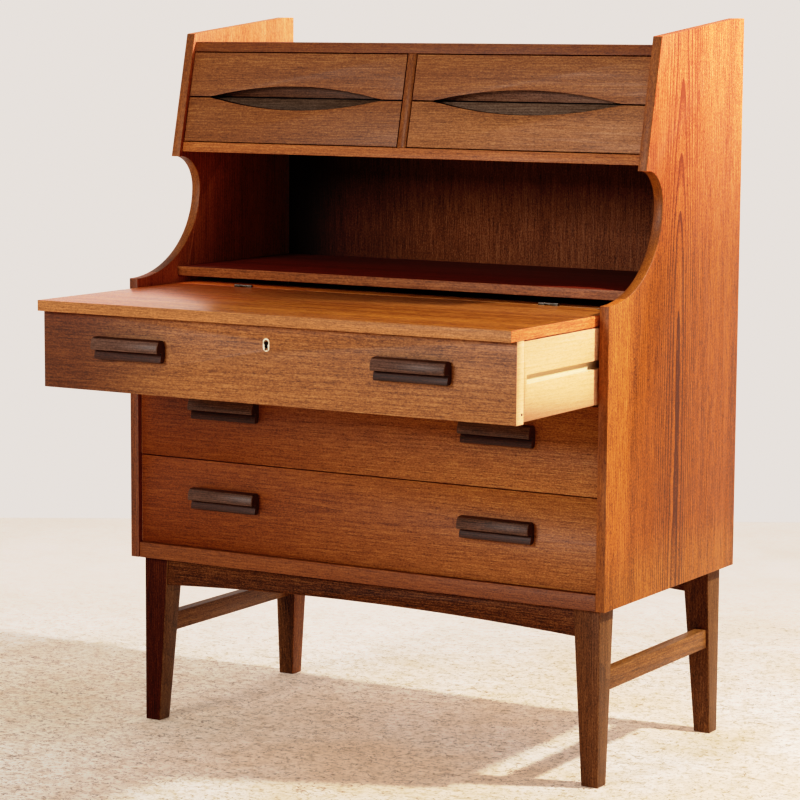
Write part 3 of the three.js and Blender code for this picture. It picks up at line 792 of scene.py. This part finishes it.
def add_escutcheon():
    x, z = ESCUTCHEON_AT
    outer = oval(x, z, *OVAL_HALF)
    inner = keyhole(x, z, len(outer))
    mesh = ring_mesh("keyhole_ring", outer, inner, DESK_FACE - 0.7, DESK_FACE + 1.1, 0.5)
    piece = link_piece("keyhole_ring", mesh, "writing_drawer", "ivory_plate", ivory("ivory"))
    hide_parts("desk_escutcheon")
    # Painted shade: a near black throat behind the keyhole stands for the dark inside of the lock.
    throat = lathe_mesh("keyhole_throat", (x, DESK_FACE + 0.6, z), (0, 1, 0), THROAT_PROFILE,
                        steps=24)
    dark = metal("keyhole_shade", KEYHOLE_SHADE, 0.6)
    link_piece("keyhole_throat", throat, "writing_drawer", "steel", dark)


NAIL_DARK = (0.045, 0.03, 0.02, 1)
NAIL_FACE_X = 425.6
NAILS_AT = ((-238, 612), (189, 612), (189, 704))  # depth and height in a side of the writing drawer
NAIL_PROFILE = [(-1.0, 0.9), (-0.2, 1.9), (0.1, 2.1), (0.35, 1.5), (0.42, 0.5)]


def add_nails():
    dark = metal("nail_dark", NAIL_DARK, 0.6)
    for side, sign in (("left", -1), ("right", 1)):
        for i, (y, z) in enumerate(NAILS_AT):
            at = (sign * NAIL_FACE_X, y, z)
            mesh = lathe_mesh(f"nail_{side}_{i}", at, (sign, 0, 0), NAIL_PROFILE, steps=14)
            link_piece(f"nail_{side}_{i}", mesh, "writing_drawer", "steel", dark)


# ---------------------------------------------------------------- stage and lights
def plane(name, size_x, size_y, matrix, material):
    mesh = bpy.data.meshes.new(name)
    x, y = size_x / 2, size_y / 2
    mesh.from_pydata([(-x, -y, 0), (x, -y, 0), (x, y, 0), (-x, y, 0)], [], [(0, 1, 2, 3)])
    thing = bpy.data.objects.new(name, mesh)
    thing.matrix_world = matrix
    mesh.materials.append(material)
    bpy.context.scene.collection.objects.link(thing)
    return thing


def hairlines(g, where, scale, width, turn, sparse):
    """Curved thin lines: contour lines of a noise, broken up by another noise."""
    turned = g.mapping(where, rotation=(0, 0, turn), scale=(1.0, 1.9, 1.0))
    field = g.noise(turned, scale, detail=3.0, roughness=0.6)
    ridge = g.math("ABSOLUTE", g.math("SUBTRACT", field, 0.5))
    line = g.remap(ridge, 0.0, width, 1.0, 0.0)
    cut = g.remap(g.noise(turned, scale * 1.7, detail=2.0), sparse, sparse + 0.06)
    return g.math("MULTIPLY", line, cut)


# Hairlines on the floor: scale, width, turn and how sparse they are.
HAIRLINES = ((7.0, 0.006, 0.4, 0.47), (15.0, 0.010, -0.7, 0.49), (29.0, 0.016, 1.2, 0.51))
# Where the painted tints of the desk's shadow sit on the floor, in metres: the middle of the shadow,
# and its left end.
SHADOW_MIDDLE = (0.0, 0.1, 0)
SHADOW_LEFT = (-0.62, 0.05, 0)
FLOOR_GLOW = (1.0, 0.87, 0.76, 1)  # light that the pale room sends back into the shadow


def floor_material():
    """Pale worn floor: soft clouds, fine brown flecks and short curved hairlines."""
    material, g, shader = new_material("floor")
    where = g.coordinates()
    depth = g.part(g.mapping(where, rotation=(0, 0, -YAW)), "Y")
    close = g.remap(depth, 1.5, 0.3, 0.1, 1.0)

    def tinted(base, factor, colour):
        return g.mix(factor, base, srgb(colour))

    def marked(base, factor, colour):
        """A tint that fades out with distance."""
        return tinted(base, g.math("MULTIPLY", factor, close), colour)

    cloud = g.noise(where, 2.4, detail=7.0, roughness=0.66)
    base = g.mix(g.remap(cloud, 0.35, 0.68), srgb("#f6ebe4"), srgb("#efe2d8"))
    base = tinted(base, g.remap(depth, 0.45, -0.3, 0.0, 1.0), "#f1e9e2")
    # Painted light: a warm tint in the middle of the desk's shadow, for the light the teak sends
    # down into it.
    near = g.remap(g.vector_math("DISTANCE", where, SHADOW_MIDDLE), 0.1, 0.62, 1.0, 0.0)
    base = tinted(base, g.math("MULTIPLY", near, 0.2), "#e6cdb0")

    # Warm patches towards the right and olive ones at the shadow's left end: partly the floor's own
    # mottling, partly painted tint of the light in the desk's shadow.
    patch = g.noise(where, 2.4, detail=3.0, roughness=0.6)
    rightward = g.remap(g.part(where, "X"), -0.45, 0.0)
    warm = g.math("MULTIPLY", rightward, g.remap(patch, 0.36, 0.62, 0.1, 0.5))
    base = marked(base, warm, "#e0b890")
    from_left_end = g.mapping(where, location=tuple(-c for c in SHADOW_LEFT))
    leftward = g.remap(g.vector_math("LENGTH", from_left_end), 0.6, 0.1)
    olive = g.math("MULTIPLY", leftward, g.remap(patch, 0.62, 0.36, 0.2, 0.6))
    base = marked(base, olive, "#c2b99c")

    stain = g.noise(g.mapping(where, location=(3.1, 1.7, 0)), 3.3, detail=6.0, roughness=0.7)
    mottle = g.noise(where, 26.0, detail=6.0, roughness=0.8)
    dust = g.noise(where, 90.0, detail=5.0, roughness=0.8)
    slanted = g.mapping(where, rotation=(0, 0, 0.5), scale=(150, 60, 1))
    fleck = g.noise(slanted, 1.0, detail=3.0, roughness=0.75)
    base = marked(base, g.remap(stain, 0.52, 0.70, 0.0, 0.45), "#cdb59c")
    base = marked(base, g.remap(mottle, 0.58, 0.36, 0.0, 0.5), "#c4a98e")
    base = marked(base, g.remap(dust, 0.53, 0.28, 0.0, 0.85), "#94703f")
    base = marked(base, g.remap(fleck, 0.42, 0.31, 0.0, 0.75), "#7a5730")
    for scale, width, turn, sparse in HAIRLINES:
        hair = hairlines(g, where, scale, width, turn, sparse)
        base = marked(base, g.math("MULTIPLY", hair, 0.8), "#775840")

    g.put(shader.inputs["Base Color"], base)
    g.put(shader.inputs["Emission Color"], g.mix(1.0, base, FLOOR_GLOW, "MULTIPLY"))
    shader.inputs["Emission Strength"].default_value = 0.27
    g.put(shader.inputs["Roughness"], g.remap(mottle, 0.3, 0.7, 0.8, 0.66))
    shader.inputs["Specular IOR Level"].default_value = 0.25
    return material


BACKDROP_COLOUR = srgb("#e5d8cf")
BACKDROP_GLOW = 1.35
BACKDROP_HEIGHT = 8
BACKDROP_AWAY = 6.70  # metres from the camera, along the floor


def backdrop_material():
    """Evenly lit backdrop, seen from its front side only."""
    material = bpy.data.materials.new("backdrop")
    material.use_nodes = True
    material.node_tree.nodes.clear()
    g = Graph(material.node_tree)
    glow = g.add("ShaderNodeEmission")
    glow.inputs["Color"].default_value = BACKDROP_COLOUR
    glow.inputs["Strength"].default_value = BACKDROP_GLOW
    clear = g.add("ShaderNodeBsdfTransparent")
    side = g.add("ShaderNodeNewGeometry").outputs["Backfacing"]
    mixed = g.add("ShaderNodeMixShader")
    g.put(mixed.inputs[0], side)
    g.put(mixed.inputs[1], glow.outputs[0])
    g.put(mixed.inputs[2], clear.outputs[0])
    output = g.add("ShaderNodeOutputMaterial")
    g.put(output.inputs["Surface"], mixed.outputs[0])
    return material


def add_stage():
    plane("floor", 24, 24, Matrix.Identity(4), floor_material())
    away = Vector((-math.sin(YAW), math.cos(YAW), 0))
    centre = CAMERA_AT + away * BACKDROP_AWAY
    centre.z = BACKDROP_HEIGHT / 2
    turn = Matrix.Rotation(YAW, 4, "Z") @ Matrix.Rotation(math.pi / 2, 4, "X")
    plane("backdrop", 24, BACKDROP_HEIGHT, Matrix.Translation(centre) @ turn, backdrop_material())


def aim(light, at, target):
    light.location = at
    light.rotation_mode = "QUATERNION"
    light.rotation_quaternion = (Vector(target) - Vector(at)).to_track_quat("-Z", "Y")


def add_area(name, at, target, size, power, colour, shape):
    data = bpy.data.lights.new(name, "AREA")
    data.shape = shape
    data.size = size
    data.energy = power
    data.color = colour
    light = bpy.data.objects.new(name, data)
    aim(light, at, target)
    bpy.context.scene.collection.objects.link(light)


# The key is small and high on the right, level with the desk's back, and draws the crisp shadow on
# the floor. The fill is larger, and far off in front.
KEY_AT, KEY_TARGET, KEY_SIZE, KEY_POWER = (1.70, 0.484, 1.895), (0.2, 0.0, 0.6), 0.14, 75
FILL_AT, FILL_TARGET, FILL_SIZE, FILL_POWER = (-1.15, -5.9, 2.60), (0, 0, 0.7), 1.6, 244
KEY_COLOUR = (1.0, 0.93, 0.84)
FILL_COLOUR = (1.0, 0.96, 0.92)
ROOM_COLOUR = srgb("#e5e0dc")
ROOM_LIGHT = 0.32


def add_lights():
    add_area("key", KEY_AT, KEY_TARGET, KEY_SIZE, KEY_POWER, KEY_COLOUR, "DISK")
    add_area("fill", FILL_AT, FILL_TARGET, FILL_SIZE, FILL_POWER, FILL_COLOUR, "SQUARE")
    world = bpy.data.worlds.new("world")
    world.use_nodes = True
    background = world.node_tree.nodes["Background"]
    background.inputs["Color"].default_value = ROOM_COLOUR
    background.inputs["Strength"].default_value = ROOM_LIGHT
    bpy.context.scene.world = world


WHITE_LEVEL = 2.5  # scene light that is shown as white
# Scene light and the level it is shown at: deeper shadows and a soft shoulder.
CURVE = [
    (0.01, 0.0035), (0.02, 0.010), (0.04, 0.027), (0.07, 0.056), (0.12, 0.109),
    (0.25, 0.245), (0.45, 0.445), (0.7, 0.65), (1.05, 0.79), (1.7, 0.92),
]


def set_tones():
    settings = bpy.context.scene.view_settings
    settings.view_transform = "Standard"
    settings.look = "None"
    settings.use_curve_mapping = True
    curve = settings.curve_mapping
    curve.white_level = (WHITE_LEVEL,) * 3
    points = curve.curves[3].points
    for level, shown in CURVE:
        points.new(level / WHITE_LEVEL, shown)
    curve.update()


add_camera()
dress_case()
dress_base()
dress_wide_drawers()
dress_small_drawers()
dress_lid()
add_handles()
add_escutcheon()
add_nails()
add_stage()
add_lights()
set_tones()
